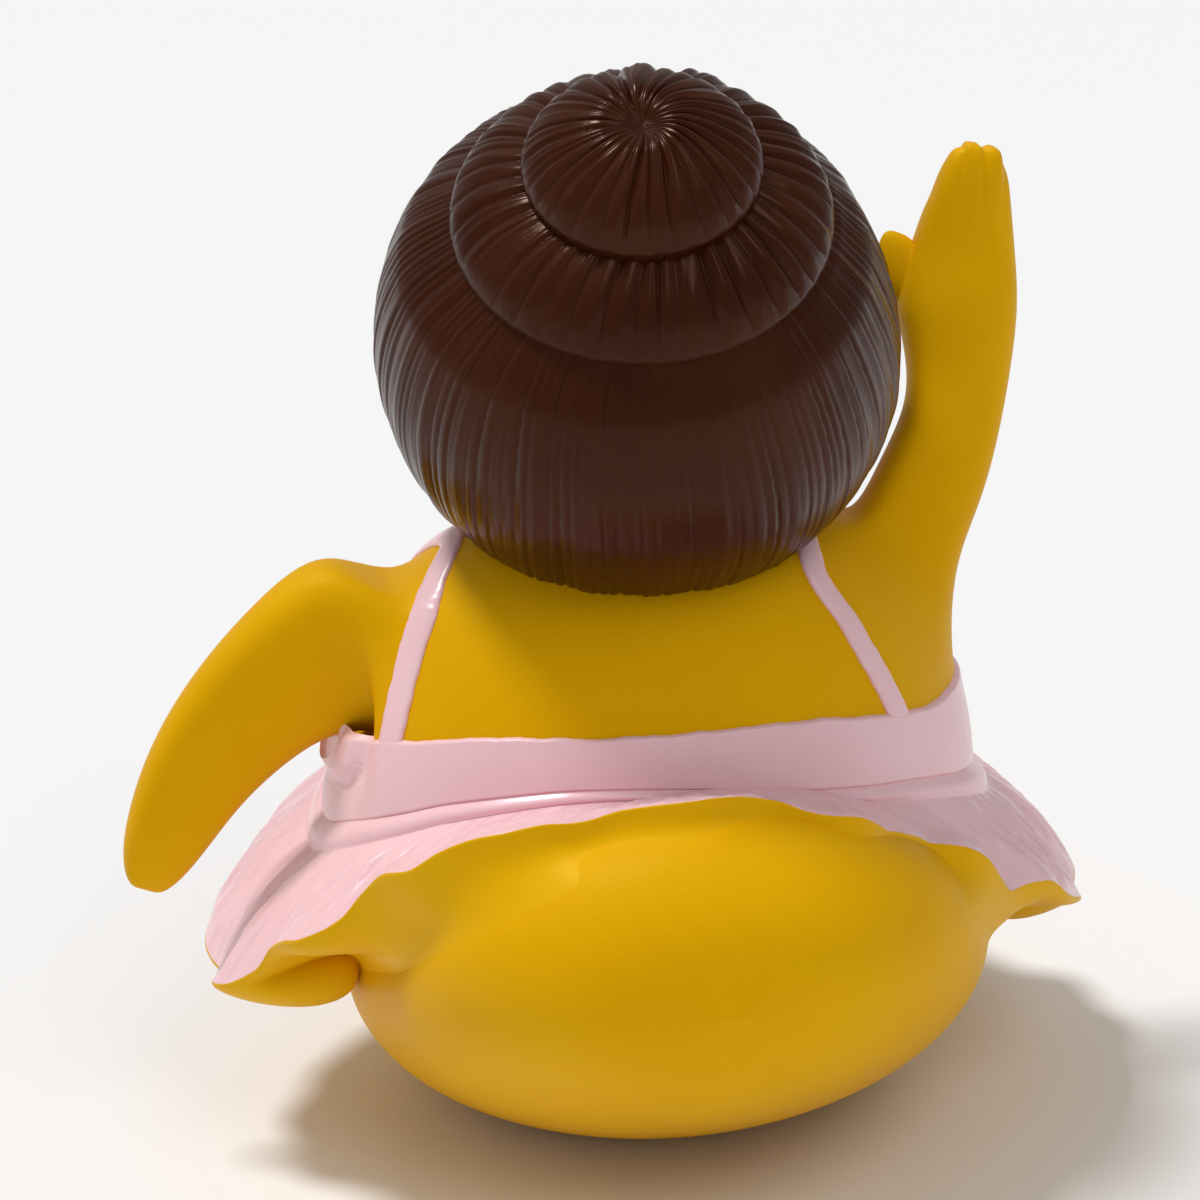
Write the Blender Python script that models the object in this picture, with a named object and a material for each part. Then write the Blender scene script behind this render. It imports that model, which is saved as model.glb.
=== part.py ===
"""A bath duck dressed as a ballerina: one hollow vinyl casting, painted after moulding.

The duck faces -Y and stands on its flat base at z = 0. Its lowered wing is on +X and its
raised wing on -X. Sizes are in metres.
"""

import math

import bmesh
import bpy
from mathutils import Matrix, Vector
from mathutils.bvhtree import BVHTree

MM = 0.001

# Casting
WALL = 2.4 * MM
VENT_RADIUS = 2.5 * MM
VENT_BACK = 8.0 * MM  # the vent sits this far behind the middle of the base

# Hull: sections from breast to tail, cut flat underneath.
# Each is its place along Y, its half width, and the heights of its foot and its top, in mm.
HULL_SHIFT = 0.4 * MM  # the hull swings towards the lowered wing
HULL_SECTIONS = [
    (-31.4, 7.0, 8.5, 15.5),
    (-27.5, 16.0, 3.5, 18.8),
    (-20.0, 24.0, -1.5, 24.0),
    (-10.0, 28.5, -3.5, 29.5),
    (0.0, 30.5, -3.0, 34.0),
    (9.0, 30.1, -1.0, 36.6),
    (17.0, 28.2, 2.4, 38.3),
    (24.0, 26.2, 6.2, 39.5),
    (30.0, 22.6, 10.0, 39.7),
    (35.0, 17.4, 14.0, 37.4),
    (38.6, 10.5, 18.6, 33.0),
]
TAIL_TIP = 40.6 * MM
TAIL_Z = 25.6 * MM
BREAST_TIP = -33.0 * MM
BREAST_Z = 12.0 * MM
SKIRT_FOOT_Z = 10.8 * MM  # the skirt's solid ends here, inside the hull

# Torso: an upright egg that the skirt, the wings and the head grow from
TORSO_HALF_WIDTH = 31.0 * MM
TORSO_HALF_DEPTH = 23.0 * MM
TORSO_Z = 31.0 * MM  # height of its widest section
TORSO_RISE = 32.0 * MM  # from there up to its crown, inside the head
TORSO_DROP = 22.0 * MM  # from there down to its foot, inside the hull
TORSO_SHIFT = 1.0 * MM  # the hips swing towards the lowered wing
SKIN_SWELL = 0.3 * MM  # the control mesh stands this far outside the smoothed skin

# Dress
BAND_HEIGHT = 2.4 * MM  # plain band between the seam and the gathers, at the sides
BAND_TAPER = 0.7  # how much of the band is lost at the back
BAND_FLARE = 1.2 * MM  # how far the band leaves the hips at the sides and in front
DRESS_RELIEF = 0.45 * MM  # painted cloth stands proud of the skin
HEM_SHIFT = 1.8 * MM  # the skirt swings towards the lowered wing
HEM_HALF_WIDTH = 42.2 * MM
HEM_BACK = 30.2 * MM
HEM_FRONT = 34.0 * MM
HEM_THICKNESS = 2.5 * MM  # at the back
HEM_TIP_THICKNESS = 1.0 * MM  # at the sides and in front
WEB_REACH = 9.5 * MM  # how far back the hem's underside meets the tail
SKIRT_COLUMNS = 96
SKIRT_PUFF = 0.12  # how far the cloth puffs over a straight line, as a share of its length
STRAP_WIDTH = 2.4 * MM

# Head and hair
HEAD_RADIUS = 24.2 * MM  # over the hair
HAIR_THICKNESS = 1.9 * MM
NECK_SINK = 11.2 * MM  # the head is sunk this far over the crown of the torso
HEAD_BACK = 2.0 * MM
BUN_TILT = math.radians(32.5)
BUN_LEAN = math.radians(2.8)  # towards the lowered wing
HAIR_STRANDS = 36
STRAND_RELIEF = 0.35 * MM
CROWN_FLAT = 0.06  # the ball flattens by this share where the bun sits on it
SIDE_FLAT = 0.05  # and by this one over the raised wing
BUN_RELIEF = 0.4 * MM

# Wings, each drawn out of a patch of the torso's side
LEFT_WING_DEPTH = 0.68  # front-to-back size of the wing's section as a share of its height
RIGHT_WING_DEPTH = 0.85
ROOT_SPAN = math.radians(22.5)  # the patch reaches this far round to either side

SEGMENTS = 28
HOLLOW_SEGMENTS = 16
SMOOTHING = 1  # subdivisions of the body's control mesh
SECTION_SWELL = 1.05  # makes up for what smoothing takes off a wing's section

TORSO_MIDDLE = Vector((TORSO_SHIFT, 0, TORSO_Z))
HEAD_MIDDLE = Vector((0, HEAD_BACK, TORSO_Z + TORSO_RISE - NECK_SINK + HEAD_RADIUS))
SKULL_RADIUS = HEAD_RADIUS - HAIR_THICKNESS


def clear_scene():
    for old in list(bpy.data.objects):
        bpy.data.objects.remove(old)


def paint(name, colour, roughness):
    material = bpy.data.materials.new(name)
    material.use_nodes = True
    shader = material.node_tree.nodes["Principled BSDF"]
    shader.inputs["Base Color"].default_value = (*colour, 1)
    shader.inputs["Roughness"].default_value = roughness
    shader.inputs["Metallic"].default_value = 0
    material.diffuse_color = (*colour, 1)
    return material


def form(name, bm, material, collection):
    """Keeps a finished bmesh as one operand of the casting."""
    bmesh.ops.recalc_face_normals(bm, faces=bm.faces)
    mesh = bpy.data.meshes.new(name)
    bm.to_mesh(mesh)
    bm.free()
    mesh.materials.append(material)
    made = bpy.data.objects.new(name, mesh)
    collection.objects.link(made)
    return made


def tube(bm, rings, low_tip=None, high_tip=None):
    """Extrudes a loop of points through the rings. Each end closes on a tip, or with a face."""
    loop = bmesh.ops.create_circle(bm, segments=len(rings[0]))["verts"]
    edges = list({edge for vert in loop for edge in vert.link_edges})
    for vert, place in zip(loop, rings[0]):
        vert.co = place
    close_end(bm, edges, loop, low_tip)
    for ring in rings[1:]:
        made = bmesh.ops.extrude_edge_only(bm, edges=edges)["geom"]
        fresh = {item for item in made if isinstance(item, bmesh.types.BMVert)}
        loop = [
            next(e.other_vert(v) for e in v.link_edges if e.other_vert(v) in fresh)
            for v in loop
        ]
        edges = [
            item
            for item in made
            if isinstance(item, bmesh.types.BMEdge) and set(item.verts) <= fresh
        ]
        for vert, place in zip(loop, ring):
            vert.co = place
    close_end(bm, edges, loop, high_tip)


def close_end(bm, edges, loop, tip):
    if tip is None:
        bmesh.ops.contextual_create(bm, geom=edges)
        return
    fan = bmesh.ops.extrude_edge_only(bm, edges=edges)["geom"]
    points = [item for item in fan if isinstance(item, bmesh.types.BMVert)]
    bmesh.ops.pointmerge(bm, verts=points, merge_co=tip)


def egg(bm, middle, half, turn, segments):
    """An ellipsoid by its half sizes, turned and then placed."""
    ball = bmesh.ops.create_uvsphere(
        bm, u_segments=segments, v_segments=segments // 2, radius=1
    )["verts"]
    bmesh.ops.scale(bm, verts=ball, vec=half)
    bmesh.ops.rotate(bm, verts=ball, matrix=turn)
    bmesh.ops.translate(bm, verts=ball, vec=middle)


def around(count):
    """Angles round the duck, from the middle of its back (0) towards +X."""
    return [math.tau * step / count for step in range(count)]


def through(points, steps):
    """A smooth run of values through the given ones (Catmull-Rom), for numbers or vectors."""
    ends = [points[0] * 2 - points[1], *points, points[-1] * 2 - points[-2]]
    run = []
    for before, start, stop, after in zip(ends, ends[1:], ends[2:], ends[3:]):
        for step in range(steps):
            t = step / steps
            run.append(
                (
                    start * 2
                    + (stop - before) * t
                    + (before * 2 - start * 5 + stop * 4 - after) * t**2
                    + (start * 3 - before - stop * 3 + after) * t**3
                )
                * 0.5
            )
    return [*run, points[-1]]


# The body


def hull(material, collection, inset=0.0):
    """Breast, belly and lifted tail, with a flat base. An inset gives the hollow's shape."""
    count = HOLLOW_SEGMENTS if inset else SEGMENTS
    shrink = 1 - inset / TAIL_TIP
    rings = []
    steps = 1 if inset else 2
    for y, half_width, foot, top in through([Vector(row) * MM for row in HULL_SECTIONS], steps):
        middle = (foot + top) / 2
        half_height = (top - foot) / 2 - inset
        rings.append(
            [
                Vector(
                    (
                        HULL_SHIFT + (half_width - inset) * math.sin(turn),
                        y * shrink,
                        middle + half_height * math.cos(turn),
                    )
                )
                for turn in around(count)
            ]
        )
    bm = bmesh.new()
    breast = Vector((HULL_SHIFT, BREAST_TIP * shrink, BREAST_Z))
    tail = Vector((HULL_SHIFT, TAIL_TIP * shrink, TAIL_Z))
    tube(bm, rings, breast, tail)
    cut = bmesh.ops.bisect_plane(
        bm,
        geom=[*bm.verts, *bm.edges, *bm.faces],
        plane_co=(0, 0, inset),
        plane_no=(0, 0, -1),
        clear_outer=True,
    )["geom_cut"]
    rim = [item for item in cut if isinstance(item, bmesh.types.BMEdge)]
    bmesh.ops.contextual_create(bm, geom=rim)
    return form("hull", bm, material, collection)


def on_torso(angle, z, out=0.0):
    """The point of the torso's skin at an angle and a height, moved straight out by out."""
    share = (z - TORSO_Z) / (TORSO_RISE if z > TORSO_Z else TORSO_DROP)
    girth = math.sqrt(max(0.0, 1 - share**2))
    half_width = TORSO_HALF_WIDTH * girth + out
    half_depth = TORSO_HALF_DEPTH * girth + out
    return Vector(
        (
            TORSO_MIDDLE.x + half_width * math.sin(angle),
            TORSO_MIDDLE.y + half_depth * math.cos(angle),
            z,
        )
    )


# Rows of the torso's control mesh, in millimetres
TORSO_ROWS = [14.0, 22.0, 29.5, 36.5, 42.0, 47.5, 52.5, 57.0, 61.0]
TORSO_COLUMNS = 24
LEFT_ROOT = (36.5, 52.5)  # the rows that each wing grows between
RIGHT_ROOT = (42.0, 57.0)

# Stations along each wing, in millimetres: x, y, z and half height
LEFT_WING = [
    (27.0, 0.0, 48.9, 9.7),
    (33.2, 0.6, 47.1, 7.2),
    (38.8, 1.0, 42.8, 6.1),
    (43.4, 1.5, 37.8, 5.1),
    (46.3, 2.0, 33.0, 4.2),
    (48.2, 2.0, 29.2, 3.2),
    (49.2, 2.0, 26.8, 1.8),
]
RIGHT_WING = [
    (-24.6, -2.0, 52.4, 5.2),
    (-27.7, -3.0, 57.8, 5.2),
    (-30.4, -4.5, 63.4, 4.5),
    (-31.4, -6.0, 68.6, 4.9),
    (-31.9, -7.0, 73.6, 5.3),
    (-32.5, -8.0, 78.6, 4.8),
    (-33.4, -8.0, 83.3, 3.6),
    (-34.3, -8.0, 87.0, 2.3),
    (-34.8, -8.0, 88.6, 1.1),
]
THUMB_ROOT = (-28.0, -8.0, 75.6)
THUMB = [(-27.0, -8.2, 77.0, 3.5), (-25.2, -8.4, 78.6, 2.9), (-24.4, -8.6, 79.7, 1.6)]


def body(material, collection, inset=0.0):
    """The torso with both wings drawn out of its sides, smoothed into one skin."""
    bm = bmesh.new()
    layers = bm.verts.layers.float.new("across"), bm.verts.layers.float.new("upward")
    angles = [a + math.pi / TORSO_COLUMNS for a in around(TORSO_COLUMNS)]
    rings = [[on_torso(a, z * MM, SKIN_SWELL - inset) for a in angles] for z in TORSO_ROWS]
    foot = Vector((TORSO_SHIFT, 0, TORSO_Z - TORSO_DROP + inset))
    crown = Vector((TORSO_SHIFT, 0, TORSO_Z + TORSO_RISE - inset))
    tube(bm, rings, foot, crown)
    bmesh.ops.recalc_face_normals(bm, faces=bm.faces)
    draw_out(bm, 1, LEFT_ROOT, LEFT_WING, LEFT_WING_DEPTH, inset, layers)
    draw_out(bm, -1, RIGHT_ROOT, RIGHT_WING, RIGHT_WING_DEPTH, inset, layers)
    if not inset:
        draw_thumb(bm)
    made = form("body", bm, material, collection)
    skin = made.modifiers.new("skin", "SUBSURF")
    skin.levels = skin.render_levels = 0 if inset else SMOOTHING
    return made


def draw_out(bm, side, rows, stations, depth, inset, layers):
    """Extrudes a square patch of the torso along a wing's stations, as rounded sections."""
    across, upward = layers
    low, high = (row * MM for row in rows)
    for vert in bm.verts:
        bearing = math.atan2(side * (vert.co.x - TORSO_SHIFT), vert.co.y)
        vert[across] = (bearing - math.pi / 2) / ROOT_SPAN
        vert[upward] = (vert.co.z * 2 - low - high) / (high - low)
    root = [
        face
        for face in bm.faces
        if all(max(abs(v[across]), abs(v[upward])) < 1.01 for v in face.verts)
    ]
    places = [Vector(station[:3]) * MM for station in stations]
    for index, (place, station) in enumerate(zip(places, stations)):
        radius = station[3] * MM - inset
        if radius < inset / 2:
            break
        ahead = places[min(index + 1, len(places) - 1)]
        behind = places[max(index - 1, 0)]
        along = (ahead - behind).normalized()
        lift = Vector((-side * along.z, 0, side * along.x)).normalized()
        deep = along.cross(lift) * side
        made = bmesh.ops.extrude_face_region(bm, geom=root)["geom"]
        bmesh.ops.delete(bm, geom=root, context="FACES")
        root = [item for item in made if isinstance(item, bmesh.types.BMFace)]
        for vert in {v for face in root for v in face.verts}:
            spot = Vector((vert[across], vert[upward]))
            spot = spot.normalized() * max(abs(spot.x), abs(spot.y)) * radius * SECTION_SWELL
            vert.co = place + deep * spot.x * depth + lift * spot.y


def draw_thumb(bm):
    """Pulls a short thumb out of the face of the raised wing that looks at the head."""
    start = Vector(THUMB_ROOT) * MM
    root = min(bm.faces, key=lambda face: (face.calc_center_median() - start).length)
    for x, y, z, size in THUMB:
        made = bmesh.ops.extrude_face_region(bm, geom=[root])["geom"]
        bmesh.ops.delete(bm, geom=[root], context="FACES")
        root = next(item for item in made if isinstance(item, bmesh.types.BMFace))
        middle = root.calc_center_median()
        for vert in root.verts:
            vert.co = Vector((x, y, z)) * MM + (vert.co - middle).normalized() * size * MM


# The dress

# Heights in millimetres by degrees round the duck, from the middle of its back towards +X.
# The tail lifts the dress at the back and the breast lifts it in front.
WAIST = [
    (-180, 35.5),
    (-150, 34.8),
    (-120, 32.4),
    (-100, 31.0),
    (-84, 31.2),
    (-64, 33.3),
    (-48, 35.3),
    (-37, 36.3),
    (-24, 37.5),
    (-6, 39.2),
    (11, 40.0),
    (24, 39.8),
    (42, 38.2),
    (52, 36.6),
    (70, 33.6),
    (85, 31.6),
    (97, 31.6),
    (110, 33.0),
    (130, 34.6),
    (155, 35.4),
    (180, 35.5),
]
NECKLINE = [
    (-180, 43.0),
    (-140, 42.0),
    (-105, 41.2),
    (-75, 41.3),
    (-62, 41.1),
    (-47, 42.0),
    (-27, 43.8),
    (-15, 44.3),
    (0, 44.5),
    (14, 44.6),
    (33, 44.5),
    (56, 43.0),
    (68, 41.6),
    (79, 40.0),
    (92, 39.6),
    (110, 40.6),
    (140, 42.0),
    (180, 43.0),
]
HEM = [
    (-180, 23.0),
    (-166, 22.0),
    (-151, 22.8),
    (-138, 21.2),
    (-126, 21.8),
    (-115, 19.6),
    (-105, 19.8),
    (-96, 17.4),
    (-87, 16.4),
    (-79, 17.6),
    (-70, 19.4),
    (-63, 21.6),
    (-58, 24.0),
    (-53, 24.9),
    (-48, 25.3),
    (-45, 27.2),
    (-41.5, 30.2),
    (-38, 31.9),
    (-33, 33.0),
    (-29, 34.0),
    (-25.5, 35.9),
    (-21, 38.2),
    (-15, 39.3),
    (-11, 40.6),
    (-4, 41.9),
    (2, 42.0),
    (8, 41.4),
    (13, 40.5),
    (18, 40.5),
    (23, 39.7),
    (27, 39.1),
    (31, 37.8),
    (35, 35.9),
    (40, 34.7),
    (44, 32.2),
    (47.5, 29.5),
    (52, 27.7),
    (58, 26.2),
    (63, 24.4),
    (67, 21.5),
    (72, 19.6),
    (80, 18.4),
    (89, 17.6),
    (98, 18.8),
    (106, 20.6),
    (115, 20.0),
    (126, 22.2),
    (138, 21.6),
    (151, 23.0),
    (166, 22.2),
    (180, 23.0),
]


def height_at(table, angle):
    """Reads a closed table of heights smoothly at an angle."""
    bearing = (math.degrees(angle) + 180) % 360 - 180
    before = (table[-2][0] - 360, table[-2][1])
    after = (table[1][0] + 360, table[1][1])
    ring = [before, *table, after]
    for (d0, z0), (d1, z1), (d2, z2), (d3, z3) in zip(ring, ring[1:], ring[2:], ring[3:]):
        if bearing <= d2:
            break
    t = (bearing - d1) / (d2 - d1)
    rise_in = (z2 - z0) / (d2 - d0) * (d2 - d1)
    rise_out = (z3 - z1) / (d3 - d1) * (d2 - d1)
    return MM * (
        z1 * (1 + 2 * t) * (1 - t) ** 2
        + rise_in * t * (1 - t) ** 2
        + z2 * t**2 * (3 - 2 * t)
        - rise_out * t**2 * (1 - t)
    )


def bodice(material, collection):
    """The fitted top, a shallow step over the torso from the waist seam to the neckline."""
    rows = 3
    levels = [(a, height_at(WAIST, a), height_at(NECKLINE, a)) for a in around(SEGMENTS)]
    rings = []
    for row in range(rows + 1):
        share = row / rows
        rings.append(
            [
                on_torso(a, seam + (neckline - seam) * share, DRESS_RELIEF)
                for a, seam, neckline in levels
            ]
        )
    bm = bmesh.new()
    high = Vector((TORSO_MIDDLE.x, 0, height_at(NECKLINE, 0)))
    tube(bm, rings, TORSO_MIDDLE, high)
    return form("bodice", bm, material, collection)


def hem_wave(angle):
    """How far the hem's folds swing out and in. The three beats make them uneven."""
    return MM * (
        0.55 * math.sin(15 * angle + 0.5)
        + 0.45 * math.sin(19 * angle + 2.1)
        + 0.3 * math.sin(8 * angle + 4)
    )


def hem(angle):
    """The hem's upper edge."""
    back = math.cos(angle)
    wave = hem_wave(angle)
    return Vector(
        (
            HEM_SHIFT + (HEM_HALF_WIDTH + wave) * math.sin(angle),
            ((HEM_BACK if back > 0 else HEM_FRONT) + wave) * back,
            height_at(HEM, angle),
        )
    )


def skirt_ring(angle, share):
    """A point of the skirt's upper side, from the gathers (0) to the hem (1)."""
    back = max(0.0, math.cos(angle))
    band = BAND_HEIGHT * (1 - BAND_TAPER * back**2)
    flare = BAND_FLARE * (1 - back)
    top = on_torso(angle, height_at(WAIST, angle) - band, DRESS_RELIEF + flare)
    edge = hem(angle)
    outward = Vector((math.sin(angle), math.cos(angle), 0))
    puff = (edge - top).length * SKIRT_PUFF * (1 - back)
    knee = top.lerp(edge, 0.45) + (outward * 0.5 + Vector((0, 0, 1))) * puff
    return top * (1 - share) ** 2 + knee * 2 * share * (1 - share) + edge * share**2


def skirt_foot(angle, share):
    """A point of the skirt's underside, from its rim (1) inwards. It webs over to the tail."""
    back = min(1.0, max(0.0, math.cos(angle) - 0.25) * 3)
    thickness = HEM_TIP_THICKNESS + (HEM_THICKNESS - HEM_TIP_THICKNESS) * back
    web = WEB_REACH * min(1.0, max(0.0, math.cos(angle) - 0.45) * 3)
    inward = min(1.0, (1 - share) * 5)
    rim = hem(angle)
    fall = thickness + HEM_THICKNESS * back * inward + web * inward * 0.13
    return Vector((rim.x * share, rim.y * share + web * inward, rim.z - fall))


def skirt(top_paint, skin, collection):
    """The gathered skirt. Its underside and the rim under the hem are left unpainted."""
    angles = around(SKIRT_COLUMNS)
    rings = [[skirt_foot(a, share) for a in angles] for share in (0.5, 0.8, 0.98)]
    painted_from = len(rings)
    for share in (1, 0.85, 0.66, 0.44, 0.22, 0):
        rings.append([skirt_ring(a, share) for a in angles])
    rings.append([on_torso(a, height_at(WAIST, a), -0.2 * MM) for a in angles])
    bm = bmesh.new()
    tube(bm, rings, Vector((0, 0, SKIRT_FOOT_Z)), TORSO_MIDDLE)
    bm.faces.index_update()
    made = form("skirt", bm, skin, collection)
    made.data.materials.append(top_paint)
    for face in made.data.polygons[painted_from * len(angles) + len(angles) :]:
        face.material_index = 1
    return made


# Strap lines over the shoulders: degrees round the torso, and height in millimetres
LEFT_STRAP = [
    (60, 40),
    (60.5, 45),
    (63, 50),
    (69, 54),
    (88, 57.5),
    (110, 56),
    (124, 50),
    (128, 40),
]
RIGHT_STRAP = [
    (-47.5, 40),
    (-45.5, 46),
    (-44.8, 50),
    (-47.5, 55.5),
    (-76, 59),
    (-115, 56.5),
    (-125, 50),
    (-129, 40),
]


def strap(name, line, skin, material, collection):
    """A ribbon laid on the skin, with its lower half sunk into it."""
    run = through([Vector((math.radians(a), z * MM)) for a, z in line], 2)
    laid = [skin.find_nearest(on_torso(angle, z)) for angle, z in run]
    rings = []
    for index, (place, out, _, _) in enumerate(laid):
        along = laid[min(index + 1, len(laid) - 1)][0] - laid[max(index - 1, 0)][0]
        across = along.cross(out).normalized()
        rings.append(
            [
                place
                + across * STRAP_WIDTH / 2 * math.cos(turn)
                + out * DRESS_RELIEF * 1.5 * math.sin(turn)
                for turn in around(6)
            ]
        )
    bm = bmesh.new()
    tube(bm, rings)
    return form(name, bm, material, collection)


# The head


BUN_AXIS = Matrix.Rotation(BUN_LEAN, 3, "Y") @ Vector(
    (0, math.sin(BUN_TILT), math.cos(BUN_TILT))
)
SIDEWAYS = Matrix.Rotation(BUN_LEAN, 3, "Y") @ Vector((1, 0, 0))
NAPE_WARD = BUN_AXIS.cross(SIDEWAYS)


def from_bun(spread, polar, radius):
    """A point of the head by its angle round the bun's axis and its angle down from it."""
    flat = NAPE_WARD * math.cos(spread) + SIDEWAYS * math.sin(spread)
    return HEAD_MIDDLE + (BUN_AXIS * math.cos(polar) + flat * math.sin(polar)) * radius


FACE_HALF_WIDTH = math.radians(50)
FACE_HALF_HEIGHT = math.radians(44)
NECK_EDGE = -0.86  # hair stops where its direction from the head's middle falls this low


def bare(direction):
    """Whether the head shows skin in this direction: the face, or the neck."""
    if direction.z < NECK_EDGE:
        return True
    side = direction.x / math.sin(FACE_HALF_WIDTH)
    up = (direction.z + 0.12) / math.sin(FACE_HALF_HEIGHT)
    return direction.y < 0 and (side**2 + up**2 < 1 or (up < 0 and abs(side) < 1))


def hairline(spread):
    """How far down from the bun's axis the hair reaches."""
    polar = math.radians(50)
    step = math.radians(1)
    while not bare((from_bun(spread, polar, 1) - HEAD_MIDDLE).normalized()):
        polar += step
    return polar


def strand(angle, count):
    return abs(math.cos(count * angle / 2)) * 2 - 1


def hair(material, collection):
    angles = around(HAIR_STRANDS * 2)
    rows = 7
    rings = []
    start = math.radians(36)
    for row in range(rows + 1):
        ring = []
        for a in angles:
            polar = start + (hairline(a) - start) * row / rows
            flat = min(1.0, max(0.0, (math.radians(64) - polar) / math.radians(18)))
            radius = HEAD_RADIUS * (1 - CROWN_FLAT * flat**2 * (3 - 2 * flat))
            share = min(1.0, max(0.0, (polar - math.radians(50)) / math.radians(60)))
            dent = 6.75 * share * (1 - share) ** 2 * max(0.0, -math.sin(a))
            radius *= 1 - SIDE_FLAT * dent
            radius += STRAND_RELIEF / 2 * strand(a, HAIR_STRANDS)
            ring.append(from_bun(a, polar, radius))
        rings.append(ring)
    rings.append([from_bun(a, hairline(a) + 0.03, SKULL_RADIUS * 0.97) for a in angles])
    bm = bmesh.new()
    top = HEAD_MIDDLE + BUN_AXIS * HEAD_RADIUS * 0.85
    tube(bm, rings, top, HEAD_MIDDLE)
    return form("hair", bm, material, collection)


def skull(material, collection, inset=0.0):
    bm = bmesh.new()
    size = Vector([SKULL_RADIUS - inset] * 3)
    egg(bm, HEAD_MIDDLE, size, Matrix(), HOLLOW_SEGMENTS if inset else SEGMENTS)
    return form("skull", bm, material, collection)


# Bun tiers as (radius, height over the head's middle along the bun's axis)
LOWER_TIER = [(16.3, 14.4), (17.3, 15.8), (17.0, 17.3), (15.6, 19.0), (13.2, 20.6), (10.4, 21.6)]
UPPER_TIER = [(10.4, 21.2), (10.9, 22.8), (10.0, 24.5), (8.0, 26.1), (5.3, 27.4), (2.6, 28.0)]


def tier(name, outline, ridges, material, collection):
    rings = []
    for radius, height in outline:
        rings.append(
            [
                HEAD_MIDDLE
                + BUN_AXIS * height * MM
                + (NAPE_WARD * math.cos(a) + SIDEWAYS * math.sin(a))
                * (radius * MM + BUN_RELIEF / 2 * strand(a, ridges))
                for a in around(ridges * 2)
            ]
        )
    bm = bmesh.new()
    low = HEAD_MIDDLE + BUN_AXIS * outline[0][1] * MM * 0.9
    high = HEAD_MIDDLE + BUN_AXIS * outline[-1][1] * MM
    tube(bm, rings, low, high)
    return form(name, bm, material, collection)


def face_features(beak_paint, white, black, collection):
    """Beak and eyes, each an egg sunk into the front of the head."""
    front = HEAD_MIDDLE.y - SKULL_RADIUS
    for name, size, z, tilt in (
        ("upper_beak", (8.2, 8.0, 2.7), 70.6, 6),
        ("lower_beak", (6.6, 6.2, 2.1), 67.6, -8),
    ):
        bm = bmesh.new()
        turn = Matrix.Rotation(math.radians(tilt), 3, "X")
        egg(bm, Vector((0, front, z * MM)), Vector(size) * MM, turn, 14)
        form(name, bm, beak_paint, collection)
    for side in (-1, 1):
        for name, size, reach, material in (
            ("eye", (3.9, 1.6, 5.2), 0.2, white),
            ("pupil", (2.3, 1.5, 3.4), 0.9, black),
        ):
            bm = bmesh.new()
            yaw = math.radians(24) * side
            direction = Vector((math.sin(yaw), -math.cos(yaw), 0.14)).normalized()
            middle = HEAD_MIDDLE + direction * (SKULL_RADIUS - 0.6 * MM + reach * MM)
            turn = Matrix.Rotation(yaw, 3, "Z")
            egg(bm, middle, Vector(size) * MM, turn, 12)
            form(name, bm, material, collection)


def vent(material, collection):
    bm = bmesh.new()
    bmesh.ops.create_cone(
        bm,
        cap_ends=True,
        segments=16,
        radius1=VENT_RADIUS,
        radius2=VENT_RADIUS,
        depth=WALL * 4,
        matrix=Matrix.Translation((0, VENT_BACK, 0)),
    )
    return form("vent", bm, material, collection)


def combine(duck, collection, operation):
    step = duck.modifiers.new(collection.name, "BOOLEAN")
    step.operation = operation
    step.operand_type = "COLLECTION"
    step.collection = collection
    step.solver = "EXACT"
    step.material_mode = "TRANSFER"
    for tool in collection.objects:
        tool.hide_render = True
        tool.display_type = "WIRE"


def group(name):
    made = bpy.data.collections.new(name)
    bpy.context.scene.collection.children.link(made)
    return made


def main():
    clear_scene()
    yellow = paint("yellow vinyl", (0.80, 0.42, 0.0), 0.45)
    pink = paint("pink paint", (0.83, 0.52, 0.55), 0.3)
    brown = paint("brown paint", (0.055, 0.018, 0.008), 0.25)
    orange = paint("orange paint", (0.80, 0.17, 0.01), 0.35)
    white = paint("white paint", (0.85, 0.85, 0.83), 0.3)
    black = paint("black paint", (0.01, 0.01, 0.01), 0.2)

    duck = hull(yellow, bpy.context.scene.collection)
    duck.name = "duck"
    forms = group("forms")
    torso = body(yellow, forms)
    skin = BVHTree.FromObject(torso, bpy.context.evaluated_depsgraph_get())
    bodice(pink, forms)
    skirt(pink, yellow, forms)
    strap("left_strap", LEFT_STRAP, skin, pink, forms)
    strap("right_strap", RIGHT_STRAP, skin, pink, forms)
    skull(yellow, forms)
    hair(brown, forms)
    tier("lower_tier", LOWER_TIER, 32, brown, forms)
    tier("upper_tier", UPPER_TIER, 24, brown, forms)
    face_features(orange, white, black, forms)
    combine(duck, forms, "UNION")

    hollows = group("hollows")
    hull(yellow, hollows, WALL)
    body(yellow, hollows, WALL)
    skull(yellow, hollows, WALL)
    vent(yellow, hollows)
    combine(duck, hollows, "DIFFERENCE")


main()
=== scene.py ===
import math

import bmesh
import bpy
from mathutils import Matrix, Vector, noise
from mathutils.bvhtree import BVHTree


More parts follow.
